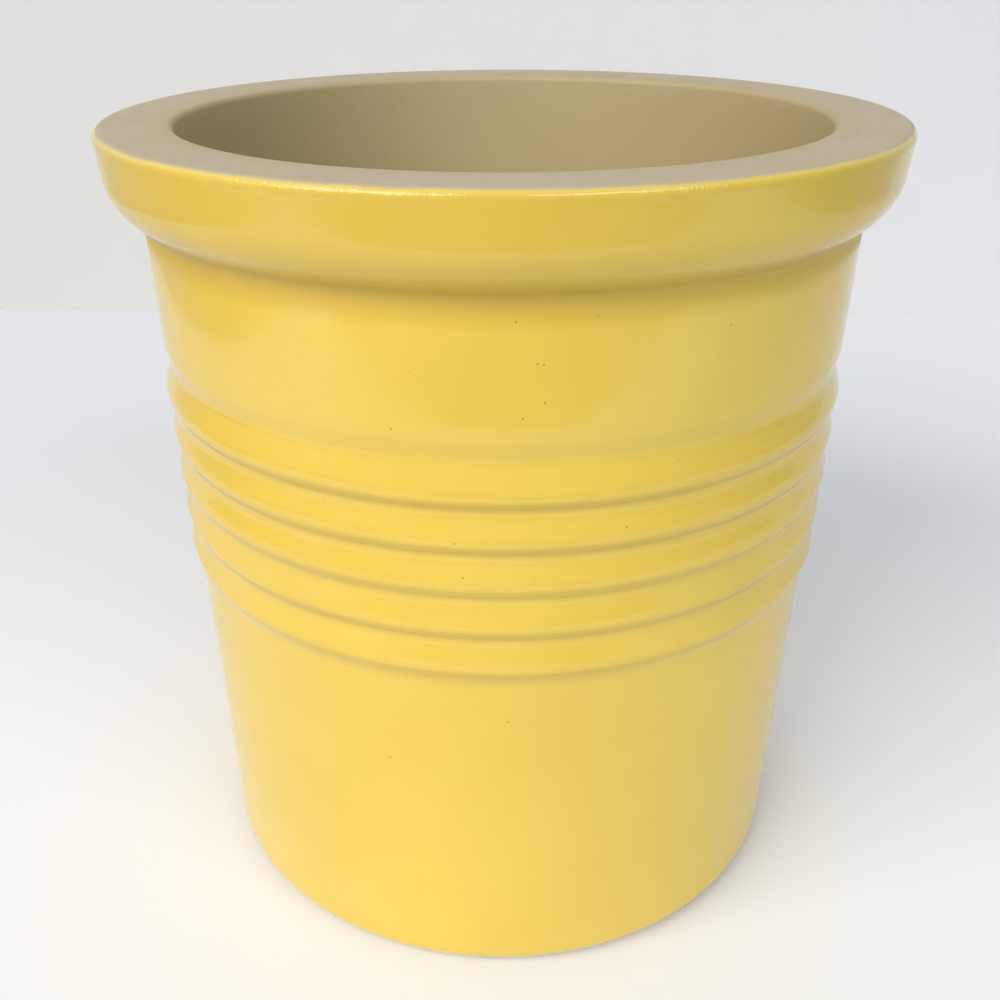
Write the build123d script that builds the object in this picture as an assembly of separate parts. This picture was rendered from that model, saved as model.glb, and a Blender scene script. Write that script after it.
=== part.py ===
from build123d import *
import math
import os

# A utensil crock: one thick stoneware casting with a heavy collar round its mouth and five
# raised rings round its wall, dipped in glossy glaze outside and in satin glaze inside.
# Millimetres, +Z up. The origin is the centre of the foot, on the surface it stands on.
# Every section is drawn as radius and height, then turned once round the Z axis.

# Finished crock, measured over the glaze
height = 159.0
rim_diameter = 152.0
base_diameter = 128.4
collar_overhang = 6.8
wall_thickness = 7.3
floor_thickness = 8.0
well_corner_radius = 9.0
mouth_edge_radius = 1.2
base_corner_radius = 5.1

# Collar: its face leans in a little on the way down, then rolls under to meet the wall
collar_drop = 11.7
collar_lean = 1.1
collar_roll_radius = 9.8
cove_drop = 16.9
cove_radius = 2.9
rim_edge_radius = 1.1

# Rings: rounded bands between narrow grooves, the top one easing into the upper wall. The
# lowest starts at a share of the height.
ring_count = 5
ring_pitch = 8.33
ring_height = 1.27
rings_start_share = 0.4566
groove_width = 0.8
groove_rise = 0.2
top_ring_rise = 9.2
upper_wall_step = 0.37

# Foot: a flat dry ring round a shallow recess
foot_ring_width = 7.5
recess_depth = 2.0
recess_corner_bevel = 1.2
foot_edge_bevel = 0.5

# Glaze coats
outer_glaze = 0.5
liner_glaze = 0.4
recess_glaze = 0.3
glaze_line_height = 1.0
rim_glaze_line = 0.7
overrun = 2.0

# Small curves, and curves of the clay that the glaze covers, are cut into this many flats
well_corner_flat_count = 4
mouth_edge_flat_count = 3
base_corner_flat_count = 3
collar_roll_flat_count = 3
rim_edge_flat_count = 1

# Worked out from the sizes above. The wall leans out so that the collar keeps its overhang.
taper = (rim_diameter / 2 - collar_overhang - base_diameter / 2) / height
rings_start = height * rings_start_share
clay_height = height - liner_glaze
rim_line_radius = rim_diameter / 2 - rim_glaze_line


def wall_radius(z):
    """Radius of the finished wall's outer face at a height, without its rings."""
    return base_diameter / 2 + z * taper


def corner_arc(before, corner, after, radius):
    """The arc that rounds a corner of an outline, between the points before and after it."""
    tip = Vector(*corner)
    back = (Vector(*before) - tip).normalized()
    ahead = (Vector(*after) - tip).normalized()
    half_angle = math.radians(back.get_angle(ahead)) / 2
    reach = radius / math.tan(half_angle)
    centre = tip + (back + ahead).normalized() * (radius / math.sin(half_angle))
    middle = centre + (tip - centre).normalized() * radius
    return ThreePointArc(tip + back * reach, middle, tip + ahead * reach)


def corner_points(before, corner, after, radius, flats):
    """Points that cut a rounded corner into equal flats."""
    arc = corner_arc(before, corner, after, radius)
    points = [arc @ (index / flats) for index in range(flats + 1)]
    return [(point.X, point.Y) for point in points]


def outlined(points):
    """A flat face inside the straight-sided outline through these points."""
    return Polygon(*points, align=None)


def rounded(face, corners):
    """Round the corners of a flat face, given as pairs of a point and a radius."""
    for point, radius in corners:
        corner = face.vertices().sort_by_distance(point)[0]
        face = face.fillet_2d(radius, [corner])
    return face


def ring_points(inset):
    """The low end, crest and high end of each ring, at a depth under the finished surface."""
    rings = []
    for index in range(ring_count):
        start = rings_start + index * ring_pitch
        lowest = index == 0
        highest = index == ring_count - 1
        low = start if lowest else start + groove_width / 2
        low_rise = 0 if lowest else groove_rise
        crest = start + ring_pitch / 2
        high = start + top_ring_rise if highest else start + ring_pitch - groove_width / 2
        high_rise = upper_wall_step if highest else groove_rise
        rings.append(
            [
                (wall_radius(low) + low_rise - inset, low),
                (wall_radius(crest) + ring_height - inset, crest),
                (wall_radius(high) + high_rise - inset, high),
            ]
        )
    return rings


def outside_corners(inset, top):
    """The corners of the foot, cove, collar roll and rim, at a depth under the finished surface."""
    base = (wall_radius(0) - inset, 0)
    cove_height = height - cove_drop
    cove = (wall_radius(cove_height) + upper_wall_step - inset, cove_height)
    roll = (rim_diameter / 2 - collar_lean - inset, height - collar_drop)
    rim = (rim_diameter / 2 - inset, top)
    return base, cove, roll, rim


def glazed_section():
    """Half section of the crock as if solid, out to the finished surface of its outside."""
    base, cove, roll, rim = outside_corners(0, height)
    edges = [Line((0, 0), base)]
    here = base
    for low, crest, high in ring_points(0):
        edges += [Line(here, low), ThreePointArc(low, crest, high)]
        here = high
    edges += [Line(here, cove), Line(cove, roll), Line(roll, rim)]
    edges += [Line(rim, (0, height)), Line((0, height), (0, 0))]
    corners = [
        (base, base_corner_radius),
        (cove, cove_radius),
        (roll, collar_roll_radius),
        (rim, rim_edge_radius),
    ]
    return rounded(Face(Wire(edges)), corners)


def clay_blank_section():
    """Half section of the clay under the outer glaze, before its well and recess are cut."""
    base, cove, roll, rim = outside_corners(outer_glaze, clay_height)
    rings = ring_points(outer_glaze)
    root = rings[0][0]
    centre = (0, 0)
    top = (0, clay_height)
    foot_radius = base_corner_radius - outer_glaze
    roll_radius = collar_roll_radius - outer_glaze
    rim_radius = rim_edge_radius - outer_glaze
    points = [centre]
    points += corner_points(centre, base, root, foot_radius, base_corner_flat_count)
    for ring in rings:
        points += ring
    points += [cove]
    points += corner_points(cove, roll, rim, roll_radius, collar_roll_flat_count)
    points += corner_points(roll, rim, top, rim_radius, rim_edge_flat_count)
    points += [top]
    return outlined(points)


def well_section(inset):
    """Half section of the hollow inside the crock, at a depth under its finished surface."""
    floor = floor_thickness - inset
    top = height - inset
    brim = height + overrun
    wall = wall_thickness - inset
    low = (wall_radius(floor) - wall, floor)
    high = (wall_radius(top) - wall, top)
    rim = (rim_diameter / 2, top)
    edge_radius = mouth_edge_radius - inset
    points = [(0, floor)]
    points += corner_points((0, floor), low, high, well_corner_radius + inset, well_corner_flat_count)
    points += corner_points(low, high, rim, edge_radius, mouth_edge_flat_count)
    points += [(high[0] + edge_radius, brim), (0, brim)]
    return outlined(points)


def recess_radius():
    """Radius of the recess, inside the flat ring that the crock stands on."""
    return base_diameter / 2 - base_corner_radius - foot_ring_width


def recess_section():
    """Half section of the shallow hollow under the floor, its edges bevelled."""
    edge = recess_radius()
    return outlined(
        [
            (0, -overrun),
            (edge + foot_edge_bevel, -overrun),
            (edge + foot_edge_bevel, 0),
            (edge, foot_edge_bevel),
            (edge, recess_depth - recess_corner_bevel),
            (edge - recess_corner_bevel, recess_depth),
            (0, recess_depth),
        ]
    )


def clay_section():
    """Half section of the whole casting."""
    return clay_blank_section() - well_section(liner_glaze) - recess_section()


def outer_glaze_section(clay):
    """Half section of the glossy coat: outside, from the line above the foot to the rim."""
    reach = rim_diameter / 2 + overrun
    brim = height + overrun
    wall_middle_low = wall_radius(glaze_line_height) - wall_thickness / 2
    wall_middle_high = wall_radius(clay_height) - wall_thickness / 2
    region = outlined(
        [
            (wall_middle_low, glaze_line_height),
            (reach, glaze_line_height),
            (reach, brim),
            (rim_line_radius, brim),
            (rim_line_radius, clay_height),
            (wall_middle_high, clay_height),
        ]
    )
    return (glazed_section() - clay) & region


def liner_glaze_section(clay):
    """Half section of the satin coat: the well, and the top of the rim up to the glossy coat."""
    low = floor_thickness / 2
    region = outlined(
        [
            (0, low),
            (wall_radius(low) - wall_thickness / 2, low),
            (wall_radius(clay_height) - wall_thickness / 2, clay_height),
            (rim_line_radius, clay_height),
            (rim_line_radius, height),
            (0, height),
        ]
    )
    return region - well_section(0) - clay


def recess_glaze_section():
    """Half section of the thin coat on the flat of the recess."""
    edge = recess_radius() - recess_corner_bevel
    low = recess_depth - recess_glaze
    return outlined([(0, low), (edge, low), (edge, recess_depth), (0, recess_depth)])


def turned(section):
    """Turn a half section once round the Z axis."""
    return revolve(Plane.XZ * section, axis=Axis.Z)


def build():
    """Every piece of the crock by its name."""
    clay = clay_section()
    return {
        "stoneware_body": turned(clay),
        "outer_glaze": turned(outer_glaze_section(clay)),
        "liner_glaze": turned(liner_glaze_section(clay)),
        "recess_glaze": turned(recess_glaze_section()),
    }


def main():
    os.makedirs("parts", exist_ok=True)
    for name, piece in build().items():
        piece.label = name
        export_step(piece, f"parts/{name}.step")


main()
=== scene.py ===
import bpy
import math
from mathutils import Matrix, Vector, noise
from mathutils.bvhtree import BVHTree


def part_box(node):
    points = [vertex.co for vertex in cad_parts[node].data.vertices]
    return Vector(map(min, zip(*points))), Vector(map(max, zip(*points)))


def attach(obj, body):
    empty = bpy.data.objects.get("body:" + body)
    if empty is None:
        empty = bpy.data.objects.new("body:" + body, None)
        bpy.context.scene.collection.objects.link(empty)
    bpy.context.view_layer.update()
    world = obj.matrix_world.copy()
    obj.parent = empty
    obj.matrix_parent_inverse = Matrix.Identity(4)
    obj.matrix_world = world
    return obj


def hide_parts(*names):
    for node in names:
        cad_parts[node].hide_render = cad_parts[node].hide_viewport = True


# A stoneware utensil crock with a heavy collar and five raised rings, glossy yellow outside and
# satin taupe inside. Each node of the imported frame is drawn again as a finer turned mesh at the
# same place. Lengths are in millimetres, outlines are pairs of radius and height, and MM turns
# them into metres.

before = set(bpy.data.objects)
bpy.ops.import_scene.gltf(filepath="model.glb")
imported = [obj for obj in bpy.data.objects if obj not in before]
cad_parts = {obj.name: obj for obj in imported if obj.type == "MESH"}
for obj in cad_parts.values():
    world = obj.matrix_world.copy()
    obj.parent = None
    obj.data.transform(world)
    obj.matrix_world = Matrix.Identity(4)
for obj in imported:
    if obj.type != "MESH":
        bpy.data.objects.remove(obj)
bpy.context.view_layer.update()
MM = 0.001

# Finished outline. The wall's radius grows by its lean from the foot to the top.
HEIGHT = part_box("liner_glaze")[1].z / MM
RIM_RADIUS = 76.0
BASE_RADIUS = 64.2
WALL_LEAN = 5.0
WALL_HEIGHT = 159.0
TAPER = WALL_LEAN / WALL_HEIGHT
WALL_THICKNESS = 7.3
FLOOR_THICKNESS = 8.0
WELL_CORNER_RADIUS = 9.0
MOUTH_EDGE_RADIUS = 1.2
BASE_CORNER_RADIUS = 5.1
COLLAR_DROP = 11.7
COLLAR_LEAN = 1.1
COLLAR_ROLL_RADIUS = 9.8
COVE_DROP = 16.9
COVE_RADIUS = 2.9
RIM_EDGE_RADIUS = 1.5
MOUTH_DIP = 0.3

# Rings. Starts and ends are heights above a ring's foot, and the valley's are above the foot of
# the top ring. Rises are measured out from the wall without its rings.
RING_COUNT = 5
RING_PITCH = 8.33
RING_HEIGHT = 1.27
RINGS_START = 72.6
GROOVE_RISE = 0.25
ROOT_START = -1.0
UNDERSIDE_START = 0.2
UNDERSIDE_END = 3.3
FACE_START = 3.4
TOP_FACE_END = 9.8
VALLEY_START = 9.4
VALLEY_END = 13.4
VALLEY_RISE = -0.15
UPPER_WALL_STEP = 0.5

# Foot and glaze coats
FOOT_RING_WIDTH = 7.5
RECESS_DEPTH = 2.0
RECESS_CORNER_RADIUS = 1.2
FOOT_EDGE_RADIUS = 0.8
OUTER_GLAZE = 0.5
LINER_GLAZE = 0.4
RECESS_GLAZE = 0.3
RECESS_GLAZE_EDGE_RADIUS = 0.27
GLAZE_LINE_HEIGHT = 1.0
GLAZE_LIP = 1.2
RIM_LINE_RADIUS = 75.3
RIM_BEAD_RISE = 0.06
RIM_BEAD_WIDTH = 2.6

# How thickly the yellow gathers, where 1 is the most that shows, and how far from a groove or
# the cove it has lost 1. The deeper yellow there is painted shade as well as gathered glaze.
GROOVE_POOL_AND_SHADE = 0.75
GROOVE_POOL_AND_SHADE_REACH = 1.8
COVE_POOL_AND_SHADE = 1.6
COVE_POOL_AND_SHADE_REACH = 2.4
COLLAR_POOL_AND_SHADE = 0.24

# How finely the turned meshes are cut
SEGMENTS = 360
STEP = 0.1
FINE_TURN = math.radians(4.2)
COARSE_TURN = math.radians(8)
LONGEST_STEP = 3.0
LONGEST_HIDDEN_STEP = 8.0
SOFTENING = 0.3
SHARP_TURN = math.radians(50)

# Unevenness of the hand-finished form: slow waves, small waves that are finer and lower by one
# ratio, and level streaks on the rings
WAVE_SIZE = 34.0
WAVE_HEIGHT = 0.1
SMALL_WAVE_RATIO = 3
SMALL_WAVE_SHIFT = 7.0
STREAK_LENGTH = 40.0
STREAK_SPACING = 1.7
STREAK_HEIGHT = 0.02

# The crock isn't quite level: its rim is lifted, and tilted by a share of the place across it
RIM_TILT = 0.0066
RIM_LIFT = 0.2
TILT_START = 118.0
TILT_END = 142.0

# Camera, fitted to the photograph: the rim, both sides, the grooves and the base curve
IMAGE_SIZE = 1000
FOCAL_PIXELS = 1125.0
SENSOR_WIDTH = 36.0
CAMERA_DISTANCE = 227.67
CAMERA_ABOVE_RIM = 29.9
CAMERA_PITCH = 0.46349
CAMERA_YAW = 0.00207
CAMERA_ROLL = 0.00379
CAMERA_CLIP_START = 10.0

# Pixels of the photograph
PINHOLES_PX = [
    (391, 429), (516, 322), (538, 364), (544, 365), (545, 403), (523, 419),
    (454, 544), (463, 578), (627, 527), (731, 325), (508, 722), (390, 757),
]
TABLE_EDGE_LEFT_PX = (0, 310)
TABLE_EDGE_RIGHT_PX = (1000, 318)

# Colours, as red, green and blue out of 255
YELLOW = (238, 204, 86)
YELLOW_DEEP = (229, 193, 72)
# Deeper yellow of gathered glaze, also used as painted shade under the rings, in the cove and on
# the collar
YELLOW_POOLED_AND_SHADED = (172, 132, 24)
YELLOW_THIN = (238, 216, 122)
TAUPE = (193, 176, 145)
TAUPE_DARK = (176, 158, 124)
# Browner taupe painted deep in the well as shade and bounced light
TAUPE_WELL_SHADE = (187, 168, 121)
TAUPE_SPECK = (120, 100, 72)
CLAY = (214, 198, 172)
CLAY_DARK = (188, 166, 134)
PINHOLE = (124, 96, 40)
# Painted light on the stage: the table and backdrop paper are painted lighter towards the right
TABLE_PAINTED_LIGHT_LEFT = (240, 242, 246)
TABLE_PAINTED_LIGHT_RIGHT = (254, 255, 255)
BACKDROP_PAINTED_LIGHT_LEFT = (220, 217, 210)
BACKDROP_PAINTED_LIGHT_RIGHT = (235, 234, 234)

# Range in which most values of a noise lie
NOISE_RANGE = (0.3, 0.7)

# Where yellow meets taupe at the rim. The border is soft between two distances from its line,
# and wanders slowly and finely by these distances.
BORDER_SOFTNESS = (-0.35, 0.25)
BORDER_WANDER_SIZE = 9.0
BORDER_WANDER = 0.14
BORDER_GRAIN_SIZE = 0.45
BORDER_GRAIN = 0.1

# Yellow glaze: the size of each effect, the range of noise that shows it and its strength
CLOUD_SIZE = 38.0
CLOUD_RANGE = (0.35, 0.65)
CLOUD_TINT = 0.5
MOTTLE_SIZE = 2.4
MOTTLE_RANGE = (0.35, 0.75)
MOTTLE_TINT = 0.15
DRAG_RANGE = (0.38, 0.66)
DRAG_TINT = 0.24
# How far the yellow turns to its gathered colour, which is also painted shade under the rings and
# in the cove
POOL_AND_SHADE_TINT = 0.44
THIN_REACH = (0.3, 0.9)
THIN_TINT = 0.5

# Taupe glaze, which is painted browner and darker from one distance to another inside the rim
# line, as shade and bounced light deep in the well
TAUPE_CLOUD_SIZE = 16.0
TAUPE_CLOUD_TINT = 0.3
WELL_SHADE_REACH = (-8.0, -14.0)
SAND_SIZE = 0.5
SAND_RANGE = (0.45, 0.75)
SAND_TINT = 0.3
SPECK_SPACING = 1.3
SPECK_RADII = (0.08, 0.2)
SPECK_TINT = 0.4
SPECKS_LEFT_OUT = 0.5

# Pinholes: the photographed ones, and finer ones strewn over the yellow. Each fades from its
# inner radius to its outer one.
PINHOLE_RADII = (0.07, 0.24)
PINHOLE_TINT = 0.7
PINHOLE_DEPTH = 0.07
STREWN_SPACING = 3.2
STREWN_RADII = (0.06, 0.18)
STREWN_TINT = 0.45
STREWN_LEFT_OUT = 0.72

# Finer streaks in the colour and the relief, which ease out above and below the rings
DRAG_LENGTH = 16.0
DRAG_SPACING = 0.9
DRAG_DEPTH = 0.04
DRAG_EASE = 9.0

# Shine, and the relief that is too fine for the meshes
GLAZE_SPECULAR = 0.5
GLOSS_SIZE = 20.0
GLOSS_ROUGHNESS = (0.08, 0.13)
SATIN_SIZE = 1.2
SATIN_ROUGHNESS = (0.5, 0.68)
MATT_POOL_AND_SHADE = (0.3, 0.8)
MATT_ROUGHNESS = 0.35
PEEL_SIZE = 3.0
PEEL_DEPTH = 0.02
RIM_SAND_REACH = (1.4, 2.2)
RIM_SAND_PATCH_SIZE = 14.0
RIM_SAND_PATCH_RANGE = (0.42, 0.58)
RIM_SAND_SIZE = 0.55
RIM_SAND_DEPTH = 0.14

# Bare clay
CLAY_CLOUD_SIZE = 12.0
CLAY_SPECK_SPACING = 0.8
CLAY_SPECK_RADII = (0.1, 0.2)
CLAY_SPECK_TINT = 0.6
CLAY_SAND_SIZE = 0.4
CLAY_SAND_DEPTH = 0.08
CLAY_ROUGHNESS = 0.85

# Paper of the stage
PAPER_GRAIN_SIZE = 3.0
PAPER_GRAIN_DEPTH = 0.02
PAPER_ROUGHNESS = 0.7

# Stage
TABLE_LEFT = 400.0
TABLE_RIGHT = 500.0
TABLE_FRONT = 292.0
TABLE_THICKNESS = 25.0
BACKDROP_REACH = 3000.0
# How far to each side the painted light on the stage paper drifts
PAINTED_LIGHT_REACH = 350.0

# Lamps. Azimuth 0 is in front of the crock and right is positive, in degrees. Brightness is how
# bright a lamp itself looks, where 1 is white.
LAMP_DISTANCE = 1400.0
LAMPS = {
    "window": {
        "azimuth": -42,
        "elevation": 38,
        "width": 1100,
        "height": 575,
        "brightness": 7.4,
        "colour": (255, 252, 248),
    },
    "second window": {
        "azimuth": 32,
        "elevation": 38,
        "width": 1000,
        "height": 320,
        "brightness": 5.7,
        "colour": (246, 250, 255),
    },
}

# Room. What lights the crock is darker below the horizon and has a glow in front, with angles in
# degrees. What the camera and the reflections see is one plain shade.
ROOM_BRIGHTNESS_BELOW = 0.08
ROOM_BRIGHTNESS = 0.2
ROOM_COLOUR = (222, 234, 255)
GLOW_BRIGHTNESS = 0.7
GLOW_ELEVATION = 10
GLOW_REACH = 40
HORIZON_BLEND = 0.1
SHOWN_BRIGHTNESS = 0.3
SHOWN_COLOUR = (238, 239, 242)


# Outlines

def smoothstep(low, high, value):
    """0 below low, 1 above high and a smooth rise between them."""
    share = min(max((value - low) / (high - low), 0.0), 1.0)
    return share * share * (3 - 2 * share)


def ring_rise(z):
    """How far the finished wall stands out from its plain cone at a height.

    Each ring comes out quickly over its underside and goes back slowly over its face.
    """
    top = RINGS_START + (RING_COUNT - 1) * RING_PITCH
    rise = (UPPER_WALL_STEP - VALLEY_RISE) * smoothstep(VALLEY_START, VALLEY_END, z - top)
    for index in range(RING_COUNT):
        above = z - RINGS_START - index * RING_PITCH
        lowest = index == 0
        highest = index == RING_COUNT - 1
        rise_before = 0.0 if lowest else GROOVE_RISE
        rise_after = VALLEY_RISE if highest else GROOVE_RISE
        out = smoothstep(ROOT_START if lowest else UNDERSIDE_START, UNDERSIDE_END, above)
        back = smoothstep(FACE_START, TOP_FACE_END if highest else RING_PITCH, above)
        rise += (RING_HEIGHT - rise_before) * out - (RING_HEIGHT - rise_after) * back
    return rise


def cone_radius(z):
    """Radius of the finished wall at a height, without its rings."""
    return BASE_RADIUS + z * TAPER


def arc_points(before, corner, after, radius):
    """Points along the arc that rounds a corner of an outline."""
    tip = Vector(corner)
    back = (Vector(before) - tip).normalized()
    ahead = (Vector(after) - tip).normalized()
    half_angle = back.angle(ahead) / 2
    centre = tip + (back + ahead).normalized() * (radius / math.sin(half_angle))
    reach = radius / math.tan(half_angle)
    start = tip + back * reach - centre
    end = tip + ahead * reach - centre
    turn = start.angle(end)
    count = max(int(radius * turn / STEP), 2)
    points = []
    for index in range(count + 1):
        share = index / count
        blend = start * math.sin((1 - share) * turn) + end * math.sin(share * turn)
        points.append(centre + blend / math.sin(turn))
    return points


def filled(points):
    """The same outline with points added so that none lie further apart than a step."""
    dense = [points[0]]
    for here, there in zip(points, points[1:]):
        count = max(math.ceil((there - here).length / STEP), 1)
        dense += [here.lerp(there, index / count) for index in range(1, count + 1)]
    return dense


def softened(points):
    """An outline whose bends ease in and out, its ends left where they are."""
    for _ in range(int(2 * (SOFTENING / STEP) ** 2)):
        middle = [
            (before + 2 * here + after) / 4
            for before, here, after in zip(points, points[1:], points[2:])
        ]
        points = [points[0]] + middle + [points[-1]]
    return points


def thinned(points, turn, longest):
    """An outline with only the points that its bends need."""
    kept = [points[0]]
    heading = points[1] - points[0]
    for here, there in zip(points[1:], points[2:]):
        ahead = there - here
        if heading.angle(ahead) > turn or (here - kept[-1]).length > longest:
            kept.append(here)
            heading = ahead
    return kept + [points[-1]]


def moved_in(points, depths):
    """An outline moved to the left of its direction of travel, by a depth at each point."""
    inside = []
    for index, (point, depth) in enumerate(zip(points, depths)):
        before = points[max(index - 1, 0)]
        after = points[min(index + 1, len(points) - 1)]
        along = (after - before).normalized()
        inside.append(point + Vector((-along.y, along.x)) * depth)
    return inside


def lengths_along(points):
    """How far along an outline each of its points lies."""
    lengths = [0.0]
    for here, there in zip(points, points[1:]):
        lengths.append(lengths[-1] + (there - here).length)
    return lengths


def finished_outline():
    """From under the foot's edge up the outside, over the rim and down to the floor's middle."""
    cove_height = HEIGHT - COVE_DROP
    foot = (0.0, 0.0)
    base = (BASE_RADIUS, 0.0)
    root = (cone_radius(RINGS_START), RINGS_START)
    rings_top_height = RINGS_START + RING_COUNT * RING_PITCH
    rings_top = (cone_radius(rings_top_height) + UPPER_WALL_STEP, rings_top_height)
    cove = (cone_radius(cove_height) + UPPER_WALL_STEP, cove_height)
    roll = (RIM_RADIUS - COLLAR_LEAN, HEIGHT - COLLAR_DROP)
    rim = (RIM_RADIUS, HEIGHT)
    mouth = (cone_radius(HEIGHT) - WALL_THICKNESS, HEIGHT - MOUTH_DIP)
    floor_edge = (cone_radius(FLOOR_THICKNESS) - WALL_THICKNESS, FLOOR_THICKNESS)
    middle = (0.0, FLOOR_THICKNESS)
    base_arc = arc_points(foot, base, root, BASE_CORNER_RADIUS)
    cove_arc = arc_points(rings_top, cove, roll, COVE_RADIUS)
    wall = []
    z = base_arc[-1].y + STEP
    while z < cove_arc[0].y:
        wall.append(Vector((cone_radius(z) + ring_rise(z), z)))
        z += STEP
    points = base_arc + wall + cove_arc
    points += arc_points(cove, roll, rim, COLLAR_ROLL_RADIUS)
    points += arc_points(roll, rim, mouth, RIM_EDGE_RADIUS)
    points += arc_points(rim, mouth, floor_edge, MOUTH_EDGE_RADIUS)
    points += arc_points(mouth, floor_edge, middle, WELL_CORNER_RADIUS)
    points += [Vector(middle)]
    return softened(filled(points))


def split_outline(points):
    """The parts under the glaze line, outside up to the rim line, and inside."""
    glaze_line = next(i for i, point in enumerate(points) if point.y > GLAZE_LINE_HEIGHT)
    rim_line = next(
        i
        for i, point in enumerate(points)
        if point.y > HEIGHT - RIM_EDGE_RADIUS and point.x < RIM_LINE_RADIUS
    )
    return points[: glaze_line + 1], points[glaze_line : rim_line + 1], points[rim_line:]


FOOT_EDGE, OUTSIDE, INSIDE = split_outline(finished_outline())
RIM_LINE = OUTSIDE[-1]


# Unevenness

def wave(point, size, shift=0.0):
    """A slow random wave between about -1 and 1, at a place in millimetres."""
    return noise.noise(point / size + Vector((shift, shift, shift)))


def warped(point):
    """Where a point of the ideal form lies on this crock, which was finished by hand."""
    around = Vector((point.x, point.y, 0.0))
    if around.length > STEP:
        around.normalize()
    swell = WAVE_HEIGHT * wave(point, WAVE_SIZE)
    small = wave(point, WAVE_SIZE / SMALL_WAVE_RATIO, shift=SMALL_WAVE_SHIFT)
    swell += WAVE_HEIGHT / SMALL_WAVE_RATIO * small
    standing = smoothstep(0.0, BASE_CORNER_RADIUS, point.z)
    tilt = smoothstep(TILT_START, TILT_END, point.z) * (point.x * RIM_TILT + RIM_LIFT)
    return point + around * swell * standing + Vector((0.0, 0.0, tilt))


def streaked(point):
    """A point moved by the fine level streaks that the forming tool left on the rings."""
    around = Vector((point.x, point.y, 0.0)).normalized()
    place = around * (RIM_RADIUS / STREAK_LENGTH) + Vector((0.0, 0.0, point.z / STREAK_SPACING))
    strength = STREAK_HEIGHT * smoothstep(0.0, RING_HEIGHT / 2, ring_rise(point.z))
    return point + around * strength * noise.noise(place)


# Meshes

def turned(name, outline, closed=False, side=1, streaks=False):
    """A mesh turned from an outline round the Z axis and warped as the whole crock is.

    It carries two values at each point: how thickly the glaze has gathered, which also marks the
    painted shade under the rings and in the cove, and how far the rim line is, which is negative
    where side is -1.
    """
    verts, faces, rows = [], [], []
    pool_and_shade_values, rim_distances = [], []
    for point in outline:
        count = 1 if point.x < STEP else SEGMENTS
        rows.append(range(len(verts), len(verts) + count))
        for step in range(count):
            angle = 2 * math.pi * step / SEGMENTS
            radius = 0.0 if count == 1 else point.x
            place = Vector((radius * math.cos(angle), radius * math.sin(angle), point.y))
            if streaks:
                place = streaked(place)
            verts.append(warped(place) * MM)
            pool_and_shade_values.append(pooled_and_shaded(point))
            rim_distances.append(side * (point - RIM_LINE).length)
    pairs = list(zip(rows, rows[1:]))
    if closed:
        pairs.append((rows[-1], rows[0]))
    for low, high in pairs:
        if len(low) == len(high) == 1:
            continue
        for step in range(SEGMENTS):
            after = (step + 1) % SEGMENTS
            if len(low) == 1:
                faces.append((low[0], high[after], high[step]))
            elif len(high) == 1:
                faces.append((low[step], low[after], high[0]))
            else:
                faces.append((low[step], low[after], high[after], high[step]))
    mesh = bpy.data.meshes.new(name)
    mesh.from_pydata(verts, [], faces)
    mesh.validate()
    mesh.shade_smooth()
    mesh.set_sharp_from_angle(angle=SHARP_TURN)
    for label, values in (("pooling_and_shade", pool_and_shade_values), ("from_rim", rim_distances)):
        attribute = mesh.attributes.new(label, "FLOAT", "POINT")
        attribute.data.foreach_set("value", values)
    piece = bpy.data.objects.new(name, mesh)
    bpy.context.scene.collection.objects.link(piece)
    return piece


def pooled_and_shaded(point):
    """How thickly the yellow glaze has gathered at a point of the outline, from 0 to 1.

    It gathers under each ring and in the cove under the collar, and a little on the collar. The
    deeper yellow it brings is painted shade as well as gathered glaze, strongest halfway up each
    ring's underside, where shade falls.
    """
    middle = (UNDERSIDE_START + UNDERSIDE_END) / 2
    from_line = min(
        abs(point.y - RINGS_START - index * RING_PITCH - middle) for index in range(RING_COUNT)
    )
    above_cove = point.y - (HEIGHT - COVE_DROP)
    on_collar = COLLAR_POOL_AND_SHADE * smoothstep(0.0, COVE_RADIUS, above_cove)
    in_groove = GROOVE_POOL_AND_SHADE - from_line / GROOVE_POOL_AND_SHADE_REACH
    in_cove = COVE_POOL_AND_SHADE - abs(above_cove) / COVE_POOL_AND_SHADE_REACH
    return min(max(in_groove, in_cove, on_collar), 1.0)


def glossy_coat():
    """The yellow coat, which starts in a thin lip above the foot and ends in a bead at the rim."""
    lengths = lengths_along(OUTSIDE)
    depths = []
    for length in lengths:
        from_rim = lengths[-1] - length
        lip = min(length / GLAZE_LIP, 1.0)
        bead = math.sin(math.pi * min(from_rim / RIM_BEAD_WIDTH, 1.0))
        depths.append(OUTER_GLAZE * (1 - math.sqrt(lip * (2 - lip))) - RIM_BEAD_RISE * bead)
    front = thinned(moved_in(OUTSIDE, depths), FINE_TURN, LONGEST_STEP)
    hidden = thinned(OUTSIDE, COARSE_TURN, LONGEST_HIDDEN_STEP)
    back = moved_in(hidden, [OUTER_GLAZE] * len(hidden))[1:]
    return turned("glossy_coat", front + back[::-1], closed=True, streaks=True)


def satin_liner():
    """The taupe coat over the inside and the top of the rim."""
    front = thinned(INSIDE, FINE_TURN, LONGEST_STEP)
    hidden = thinned(INSIDE, COARSE_TURN, LONGEST_HIDDEN_STEP)
    back = moved_in(hidden, [LINER_GLAZE] * len(hidden))
    return turned("satin_liner", front + back[::-1], closed=True, side=-1)


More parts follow.
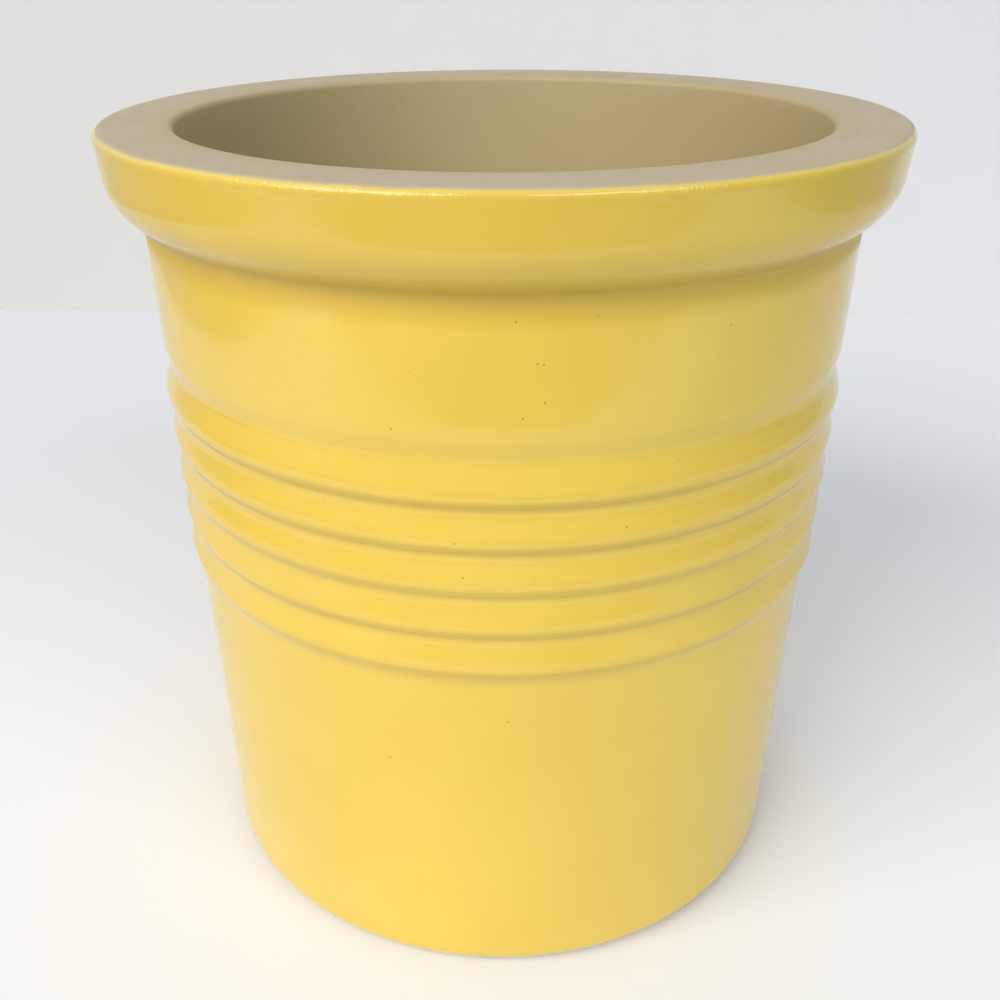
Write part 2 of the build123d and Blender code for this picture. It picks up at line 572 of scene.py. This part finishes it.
def clay_casting():
    """The clay, bare on the foot ring and in the recess's corner, and glazed over elsewhere."""
    recess_radius = BASE_RADIUS - BASE_CORNER_RADIUS - FOOT_RING_WIDTH
    ceiling = (0.0, RECESS_DEPTH)
    corner = (recess_radius, RECESS_DEPTH)
    edge = (recess_radius, 0.0)
    recess = [Vector(ceiling)]
    recess += arc_points(ceiling, corner, edge, RECESS_CORNER_RADIUS)
    recess += arc_points(corner, edge, (BASE_RADIUS, 0.0), FOOT_EDGE_RADIUS)
    foot = moved_in(FOOT_EDGE, [OUTER_GLAZE] * len(FOOT_EDGE))
    shown = thinned(filled(recess + foot), FINE_TURN, LONGEST_STEP)
    outside = thinned(OUTSIDE, COARSE_TURN, LONGEST_HIDDEN_STEP)
    inside = thinned(INSIDE, COARSE_TURN, LONGEST_HIDDEN_STEP)
    covered = moved_in(outside, [OUTER_GLAZE] * len(outside))
    lined = moved_in(inside, [LINER_GLAZE] * len(inside))
    return turned("clay_casting", shown + covered[1:] + lined)


def recess_coat():
    """The thin coat in the flat of the recess, its edge rounded where the glaze drew back."""
    edge = BASE_RADIUS - BASE_CORNER_RADIUS - FOOT_RING_WIDTH - RECESS_CORNER_RADIUS
    low = RECESS_DEPTH - RECESS_GLAZE
    middle = (0.0, low)
    corner = (edge, low)
    ceiling = (edge, RECESS_DEPTH)
    outline = [Vector(middle)]
    outline += arc_points(middle, corner, ceiling, RECESS_GLAZE_EDGE_RADIUS)
    outline += [Vector(ceiling), Vector((0.0, RECESS_DEPTH))]
    return turned("recess_coat", thinned(filled(outline), COARSE_TURN, LONGEST_HIDDEN_STEP))


# Camera

def build_camera():
    """The camera that took the photograph, in front of the crock and looking down at it."""
    data = bpy.data.cameras.new("Camera")
    data.sensor_width = SENSOR_WIDTH
    data.lens = SENSOR_WIDTH * FOCAL_PIXELS / IMAGE_SIZE
    data.clip_start = CAMERA_CLIP_START * MM
    camera = bpy.data.objects.new("Camera", data)
    bpy.context.scene.collection.objects.link(camera)
    place = Vector((0.0, -CAMERA_DISTANCE, HEIGHT + CAMERA_ABOVE_RIM)) * MM
    turn = Matrix.Rotation(CAMERA_YAW, 4, "Z")
    pitch = Matrix.Rotation(math.pi / 2 - CAMERA_PITCH, 4, "X")
    roll = Matrix.Rotation(CAMERA_ROLL, 4, "Z")
    camera.matrix_world = Matrix.Translation(place) @ turn @ pitch @ roll
    bpy.context.scene.camera = camera
    return camera


def pixel_ray(camera, pixel):
    """Where the camera stands, and the direction in which it sees a pixel of the photograph."""
    across = pixel[0] - IMAGE_SIZE / 2
    down = pixel[1] - IMAGE_SIZE / 2
    local = Vector((across, -down, -FOCAL_PIXELS))
    direction = (camera.matrix_world.to_3x3() @ local).normalized()
    return camera.matrix_world.translation.copy(), direction


def on_table(camera, pixel):
    """The place on the table top that a pixel of the photograph shows."""
    start, direction = pixel_ray(camera, pixel)
    return start - direction * (start.z / direction.z)


def on_piece(camera, piece, pixels):
    """The places on a piece that pixels of the photograph show."""
    mesh = piece.data
    corners = [vertex.co for vertex in mesh.vertices]
    tree = BVHTree.FromPolygons(corners, [face.vertices for face in mesh.polygons])
    hits = [tree.ray_cast(*pixel_ray(camera, pixel))[0] for pixel in pixels]
    return [hit for hit in hits if hit]


# Materials

def linear(colour):
    """A colour out of 255 as Blender's linear values."""
    values = []
    for channel in colour:
        share = channel / 255
        values.append(share / 12.92 if share <= 0.04045 else ((share + 0.055) / 1.055) ** 2.4)
    return (*values, 1.0)


class Graph:
    """The nodes of one material, with short ways to add the kinds used here."""

    def __init__(self, name):
        self.material = bpy.data.materials.new(name)
        self.material.use_nodes = True
        self.tree = self.material.node_tree
        self.shader = self.tree.nodes["Principled BSDF"]
        self.place = self.tree.nodes.new("ShaderNodeTexCoord").outputs["Object"]

    def feed(self, socket, value):
        """Link a node's output to a socket, or set the socket to a plain value."""
        if isinstance(value, bpy.types.NodeSocket):
            self.tree.links.new(value, socket)
        else:
            socket.default_value = value

    def maths(self, operation, first, second=0.0, third=0.0):
        """The result of an operation on up to three values."""
        node = self.tree.nodes.new("ShaderNodeMath")
        node.operation = operation
        for socket, value in zip(node.inputs, (first, second, third)):
            self.feed(socket, value)
        return node.outputs[0]

    def noise(self, size, detail=2.0, roughness=0.5, place=None):
        """Random values around 0.5 whose features are about this many millimetres wide."""
        node = self.tree.nodes.new("ShaderNodeTexNoise")
        self.feed(node.inputs["Vector"], place or self.place)
        node.inputs["Scale"].default_value = 1 / (size * MM)
        node.inputs["Detail"].default_value = detail
        node.inputs["Roughness"].default_value = roughness
        return node.outputs["Fac"]

    def streaks(self):
        """Random values that change slowly along the wall and quickly up it."""
        node = self.tree.nodes.new("ShaderNodeMapping")
        self.feed(node.inputs["Vector"], self.place)
        node.inputs["Scale"].default_value = (1.0, 1.0, DRAG_LENGTH / DRAG_SPACING)
        return self.noise(DRAG_LENGTH, detail=3.0, place=node.outputs["Vector"])

    def cells(self, size):
        """Distance to the nearest of points strewn this many millimetres apart, and its colour."""
        node = self.tree.nodes.new("ShaderNodeTexVoronoi")
        self.feed(node.inputs["Vector"], self.place)
        node.inputs["Scale"].default_value = 1 / (size * MM)
        return self.maths("MULTIPLY", node.outputs["Distance"], size), node.outputs["Color"]

    def ramp(self, value, low, high, start=0.0, end=1.0):
        """A value spread from low..high to start..end, and held there outside."""
        node = self.tree.nodes.new("ShaderNodeMapRange")
        for socket, entry in zip(node.inputs, (value, low, high, start, end)):
            self.feed(socket, entry)
        return node.outputs["Result"]

    def mix(self, share, first, second):
        """A blend of two colours."""
        node = self.tree.nodes.new("ShaderNodeMix")
        node.data_type = "RGBA"
        colours = [socket for socket in node.inputs if socket.type == "RGBA"]
        self.feed(node.inputs[0], share)
        for socket, value in zip(colours, (first, second)):
            self.feed(socket, value)
        return next(socket for socket in node.outputs if socket.type == "RGBA")

    def strewn(self, spacing, radii, strength, left_out):
        """Dots strewn at random: strength in their middles, 0 between them.

        Each fades out between its two radii, and left_out is the share that doesn't show.
        """
        distance, tint = self.cells(spacing)
        dot = self.ramp(distance, *radii, strength, 0.0)
        return self.maths("MULTIPLY", dot, self.maths("GREATER_THAN", tint, left_out))

    def attribute(self, name):
        """A value that the mesh carries at each point."""
        node = self.tree.nodes.new("ShaderNodeAttribute")
        node.attribute_name = name
        return node.outputs["Fac"]

    def distance(self, point):
        """How many millimetres each place lies from a point given in metres."""
        node = self.tree.nodes.new("ShaderNodeVectorMath")
        node.operation = "DISTANCE"
        self.feed(node.inputs[0], self.place)
        node.inputs[1].default_value = point
        return self.maths("DIVIDE", node.outputs["Value"], MM)

    def bump(self, height, depth, below=None):
        """Raise the surface by a height of 0 to 1 times a depth in millimetres."""
        node = self.tree.nodes.new("ShaderNodeBump")
        node.inputs["Distance"].default_value = depth * MM
        self.feed(node.inputs["Height"], height)
        if below:
            self.feed(node.inputs["Normal"], below)
        return node.outputs["Normal"]

    def finish(self, colour, roughness, normal):
        """Give the shader its colour, roughness and relief, and return the material."""
        self.feed(self.shader.inputs["Base Color"], colour)
        self.feed(self.shader.inputs["Roughness"], roughness)
        self.feed(self.shader.inputs["Normal"], normal)
        return self.material


def rim_share(graph):
    """1 on the yellow side of the rim line and 0 on the taupe side, with a soft grainy edge."""
    wander = graph.noise(BORDER_WANDER_SIZE)
    wander = graph.ramp(wander, *NOISE_RANGE, -BORDER_WANDER, BORDER_WANDER)
    grain = graph.noise(BORDER_GRAIN_SIZE, detail=3.0)
    grain = graph.ramp(grain, *NOISE_RANGE, -BORDER_GRAIN, BORDER_GRAIN)
    uneven = graph.maths("ADD", wander, grain)
    return graph.ramp(graph.maths("ADD", graph.attribute("from_rim"), uneven), *BORDER_SOFTNESS)


def ringed_share(graph):
    """1 over the rings, where the forming tool left its streaks, and 0 well away from them."""
    split = graph.tree.nodes.new("ShaderNodeSeparateXYZ")
    graph.feed(split.inputs[0], graph.place)
    low = RINGS_START * MM
    high = (RINGS_START + RING_COUNT * RING_PITCH) * MM
    ease = DRAG_EASE * MM
    above = graph.ramp(split.outputs["Z"], low - ease, low)
    below = graph.ramp(split.outputs["Z"], high, high + ease, 1.0, 0.0)
    return graph.maths("MULTIPLY", above, below)


def yellow_colour(graph):
    """Yellow glaze: faintly cloudy, streaked over the rings, deeper where thick and in painted
    shade.
    """
    cloud = graph.ramp(graph.noise(CLOUD_SIZE, detail=3.0), *CLOUD_RANGE)
    cloud = graph.maths("MULTIPLY", cloud, CLOUD_TINT)
    colour = graph.mix(cloud, linear(YELLOW), linear(YELLOW_DEEP))
    mottle = graph.noise(MOTTLE_SIZE, detail=4.0, roughness=0.6)
    mottle = graph.ramp(mottle, *MOTTLE_RANGE, 0.0, MOTTLE_TINT)
    colour = graph.mix(mottle, colour, linear(YELLOW_DEEP))
    dragged = graph.maths("MULTIPLY", graph.streaks(), ringed_share(graph))
    dragged = graph.ramp(dragged, *DRAG_RANGE, 0.0, DRAG_TINT)
    colour = graph.mix(dragged, colour, linear(YELLOW_DEEP))
    # Painted shade as well as gathered glaze: the yellow deepens under the rings, in the cove and
    # on the collar
    pool_and_shade = graph.maths("MULTIPLY", graph.attribute("pooling_and_shade"), POOL_AND_SHADE_TINT)
    colour = graph.mix(pool_and_shade, colour, linear(YELLOW_POOLED_AND_SHADED))
    thin = graph.ramp(graph.attribute("from_rim"), *THIN_REACH, THIN_TINT, 0.0)
    return graph.mix(thin, colour, linear(YELLOW_THIN))


def taupe_colour(graph):
    """Taupe glaze: faintly cloudy and sandy, a few fine dark grains, painted shade deep in the
    well.
    """
    cloud = graph.noise(TAUPE_CLOUD_SIZE, detail=3.0)
    cloud = graph.ramp(cloud, *NOISE_RANGE, 0.0, TAUPE_CLOUD_TINT)
    colour = graph.mix(cloud, linear(TAUPE), linear(TAUPE_DARK))
    # Painted shade: deeper in the well the taupe turns browner and darker
    inside = graph.ramp(graph.attribute("from_rim"), *WELL_SHADE_REACH)
    colour = graph.mix(inside, colour, linear(TAUPE_WELL_SHADE))
    sand = graph.noise(SAND_SIZE, detail=3.0, roughness=0.7)
    sand = graph.ramp(sand, *SAND_RANGE, 0.0, SAND_TINT)
    colour = graph.mix(sand, colour, linear(TAUPE_DARK))
    speck = graph.strewn(SPECK_SPACING, SPECK_RADII, SPECK_TINT, SPECKS_LEFT_OUT)
    return graph.mix(speck, colour, linear(TAUPE_SPECK))


def pinhole_share(graph, holes, yellow_share):
    """Up to 1 in the pinholes, the photographed ones and the ones strewn over the yellow."""
    pit = 0.0
    for hole in holes:
        near = graph.ramp(graph.distance(hole), *PINHOLE_RADII, PINHOLE_TINT, 0.0)
        pit = graph.maths("MAXIMUM", pit, near)
    strewn = graph.strewn(STREWN_SPACING, STREWN_RADII, STREWN_TINT, STREWN_LEFT_OUT)
    return graph.maths("MAXIMUM", pit, graph.maths("MULTIPLY", strewn, yellow_share))


def glaze_roughness(graph, yellow_share):
    """Glossy on the yellow, duller where it gathers, and satin on the taupe."""
    gloss = graph.ramp(graph.noise(GLOSS_SIZE), *NOISE_RANGE, *GLOSS_ROUGHNESS)
    satin = graph.ramp(graph.noise(SATIN_SIZE, detail=3.0), *NOISE_RANGE, *SATIN_ROUGHNESS)
    difference = graph.maths("SUBTRACT", gloss, satin)
    roughness = graph.maths("MULTIPLY_ADD", yellow_share, difference, satin)
    matt = graph.ramp(graph.attribute("pooling_and_shade"), *MATT_POOL_AND_SHADE, 0.0, MATT_ROUGHNESS)
    return graph.maths("MULTIPLY_ADD", matt, yellow_share, roughness)


def glaze_relief(graph, pit):
    """Fine streaks over the rings, faint ripples, sandy patches along the rim, and pinholes."""
    drag = graph.maths("MULTIPLY", graph.streaks(), ringed_share(graph))
    normal = graph.bump(drag, DRAG_DEPTH)
    normal = graph.bump(graph.noise(PEEL_SIZE), PEEL_DEPTH, below=normal)
    from_rim = graph.maths("ABSOLUTE", graph.attribute("from_rim"))
    near_rim = graph.ramp(from_rim, *RIM_SAND_REACH, 1.0, 0.0)
    patches = graph.ramp(graph.noise(RIM_SAND_PATCH_SIZE), *RIM_SAND_PATCH_RANGE)
    sand = graph.maths("MULTIPLY", graph.noise(RIM_SAND_SIZE, detail=3.0), near_rim)
    sand = graph.maths("MULTIPLY", sand, patches)
    normal = graph.bump(sand, RIM_SAND_DEPTH, below=normal)
    return graph.bump(graph.maths("SUBTRACT", 1.0, pit), PINHOLE_DEPTH, below=normal)


def glaze_material(name, holes):
    """Both glazes in one material: yellow outside the rim line and taupe inside it."""
    graph = Graph(name)
    yellow_share = rim_share(graph)
    colour = graph.mix(yellow_share, taupe_colour(graph), yellow_colour(graph))
    pit = pinhole_share(graph, holes, yellow_share)
    colour = graph.mix(pit, colour, linear(PINHOLE))
    roughness = glaze_roughness(graph, yellow_share)
    graph.shader.inputs["Specular IOR Level"].default_value = GLAZE_SPECULAR
    return graph.finish(colour, roughness, glaze_relief(graph, pit))


def clay_material():
    """Bare stoneware: buff, sandy and matt."""
    graph = Graph("bare clay")
    cloud = graph.ramp(graph.noise(CLAY_CLOUD_SIZE, detail=4.0), *NOISE_RANGE)
    colour = graph.mix(cloud, linear(CLAY), linear(CLAY_DARK))
    distance, _ = graph.cells(CLAY_SPECK_SPACING)
    speck = graph.ramp(distance, *CLAY_SPECK_RADII, CLAY_SPECK_TINT, 0.0)
    colour = graph.mix(speck, colour, linear(TAUPE_SPECK))
    normal = graph.bump(graph.noise(CLAY_SAND_SIZE, detail=4.0), CLAY_SAND_DEPTH)
    return graph.finish(colour, CLAY_ROUGHNESS, normal)


def stage_material(name, left, right):
    """Plain pale studio paper with painted light: its tone drifts lighter from its left to its
    right.
    """
    graph = Graph(name)
    across = graph.tree.nodes.new("ShaderNodeSeparateXYZ")
    graph.feed(across.inputs[0], graph.place)
    painted_light_drift = graph.ramp(across.outputs["X"], -PAINTED_LIGHT_REACH * MM, PAINTED_LIGHT_REACH * MM)
    tone = graph.mix(painted_light_drift, linear(left), linear(right))
    normal = graph.bump(graph.noise(PAPER_GRAIN_SIZE), PAPER_GRAIN_DEPTH)
    return graph.finish(tone, PAPER_ROUGHNESS, normal)


# Stage and light

def stage_piece(name, corners, faces, material):
    """A flat-sided piece of the stage."""
    mesh = bpy.data.meshes.new(name)
    mesh.from_pydata(corners, [], faces)
    mesh.materials.append(material)
    piece = bpy.data.objects.new(name, mesh)
    bpy.context.scene.collection.objects.link(piece)


def build_stage(camera):
    """A pale table top, and a pale wall that stands where the photograph shows the table end.

    The table ends in front and at the sides where its edges show in the glaze's reflections.
    """
    foot_left = on_table(camera, TABLE_EDGE_LEFT_PX)
    foot_right = on_table(camera, TABLE_EDGE_RIGHT_PX)
    slope = (foot_right.y - foot_left.y) / (foot_right.x - foot_left.x)

    def back(x):
        """How far back the table reaches at a place across it."""
        return foot_left.y + (x - foot_left.x) * slope

    left, right, front = -TABLE_LEFT * MM, TABLE_RIGHT * MM, -TABLE_FRONT * MM
    top = [(left, front), (right, front), (right, back(right)), (left, back(left))]
    corners = [(x, y, 0.0) for x, y in top] + [(x, y, -TABLE_THICKNESS * MM) for x, y in top]
    sides = [(i, i + 4, (i + 1) % 4 + 4, (i + 1) % 4) for i in range(4)]
    faces = [(0, 1, 2, 3), (7, 6, 5, 4)] + sides
    paper = stage_material("table paper with painted light", TABLE_PAINTED_LIGHT_LEFT, TABLE_PAINTED_LIGHT_RIGHT)
    stage_piece("table", corners, faces, paper)
    reach = BACKDROP_REACH * MM
    wall = [(-reach, back(-reach), -reach), (reach, back(reach), -reach)]
    wall += [(reach, back(reach), reach), (-reach, back(-reach), reach)]
    paper = stage_material("backdrop paper with painted light", BACKDROP_PAINTED_LIGHT_LEFT, BACKDROP_PAINTED_LIGHT_RIGHT)
    stage_piece("backdrop", wall, [(0, 1, 2, 3)], paper)


def lamp(name, azimuth, elevation, width, height, brightness, colour):
    """A soft rectangular lamp that faces the middle of the crock."""
    data = bpy.data.lights.new(name, "AREA")
    data.shape = "RECTANGLE"
    data.size = width * MM
    data.size_y = height * MM
    data.energy = brightness * math.pi * data.size * data.size_y
    data.color = linear(colour)[:3]
    holder = bpy.data.objects.new(name, data)
    bpy.context.scene.collection.objects.link(holder)
    side, up = math.radians(azimuth), math.radians(elevation)
    toward = Vector((math.sin(side) * math.cos(up), -math.cos(side) * math.cos(up), math.sin(up)))
    holder.location = (Vector((0.0, 0.0, HEIGHT / 2)) + toward * LAMP_DISTANCE) * MM
    holder.rotation_euler = toward.to_track_quat("Z", "Y").to_euler()


def build_world():
    """Weak light from the room, weaker from below the table, with a soft glow in front.

    The camera and the glaze's reflections see a plain pale room instead.
    """
    world = bpy.data.worlds.new("Room")
    bpy.context.scene.world = world
    world.use_nodes = True
    tree = world.node_tree
    feed = tree.links.new

    def added(kind, operation=None):
        """A new node of the world."""
        node = tree.nodes.new(kind)
        if operation:
            node.operation = operation
        return node

    place = added("ShaderNodeTexCoord").outputs["Generated"]
    split = added("ShaderNodeSeparateXYZ")
    feed(place, split.inputs[0])
    room = added("ShaderNodeMapRange")
    feed(split.outputs["Z"], room.inputs["Value"])
    room.inputs["From Min"].default_value = -HORIZON_BLEND
    room.inputs["From Max"].default_value = HORIZON_BLEND
    room.inputs["To Min"].default_value = ROOM_BRIGHTNESS_BELOW
    room.inputs["To Max"].default_value = ROOM_BRIGHTNESS
    up = math.radians(GLOW_ELEVATION)
    toward = added("ShaderNodeVectorMath", "DOT_PRODUCT")
    feed(place, toward.inputs[0])
    toward.inputs[1].default_value = (0.0, -math.cos(up), math.sin(up))
    glow = added("ShaderNodeMapRange")
    glow.interpolation_type = "SMOOTHSTEP"
    feed(toward.outputs["Value"], glow.inputs["Value"])
    glow.inputs["From Min"].default_value = math.cos(math.radians(GLOW_REACH))
    glow.inputs["To Max"].default_value = GLOW_BRIGHTNESS
    both = added("ShaderNodeMath", "ADD")
    feed(room.outputs["Result"], both.inputs[0])
    feed(glow.outputs["Result"], both.inputs[1])
    lit = tree.nodes["Background"]
    lit.inputs["Color"].default_value = linear(ROOM_COLOUR)
    feed(both.outputs[0], lit.inputs["Strength"])
    shown = added("ShaderNodeBackground")
    shown.inputs["Color"].default_value = linear(SHOWN_COLOUR)
    shown.inputs["Strength"].default_value = SHOWN_BRIGHTNESS
    path = added("ShaderNodeLightPath")
    seen = path.outputs["Is Camera Ray"]
    for name in ("Is Glossy Ray", "Is Transmission Ray"):
        either = added("ShaderNodeMath", "MAXIMUM")
        feed(seen, either.inputs[0])
        feed(path.outputs[name], either.inputs[1])
        seen = either.outputs[0]
    mixed = added("ShaderNodeMixShader")
    feed(seen, mixed.inputs[0])
    feed(lit.outputs[0], mixed.inputs[1])
    feed(shown.outputs[0], mixed.inputs[2])
    feed(mixed.outputs[0], tree.nodes["World Output"].inputs["Surface"])


# The whole scene

def keep(piece, material, node):
    """Give a piece its material, hang it from the root body, and hide the imported node it stands
    for.
    """
    piece.data.materials.append(material)
    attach(piece, "root")
    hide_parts(node)


def main():
    """Build the crock, its stage and its light."""
    camera = build_camera()
    coat = glossy_coat()
    holes = on_piece(camera, coat, PINHOLES_PX)
    glaze = glaze_material("dipped glazes", holes)
    keep(coat, glaze, "outer_glaze")
    keep(satin_liner(), glaze, "liner_glaze")
    keep(clay_casting(), clay_material(), "stoneware_body")
    keep(recess_coat(), glaze, "recess_glaze")
    build_stage(camera)
    build_world()
    for name, values in LAMPS.items():
        lamp(name, **values)
    bpy.context.scene.view_settings.view_transform = "Standard"


main()
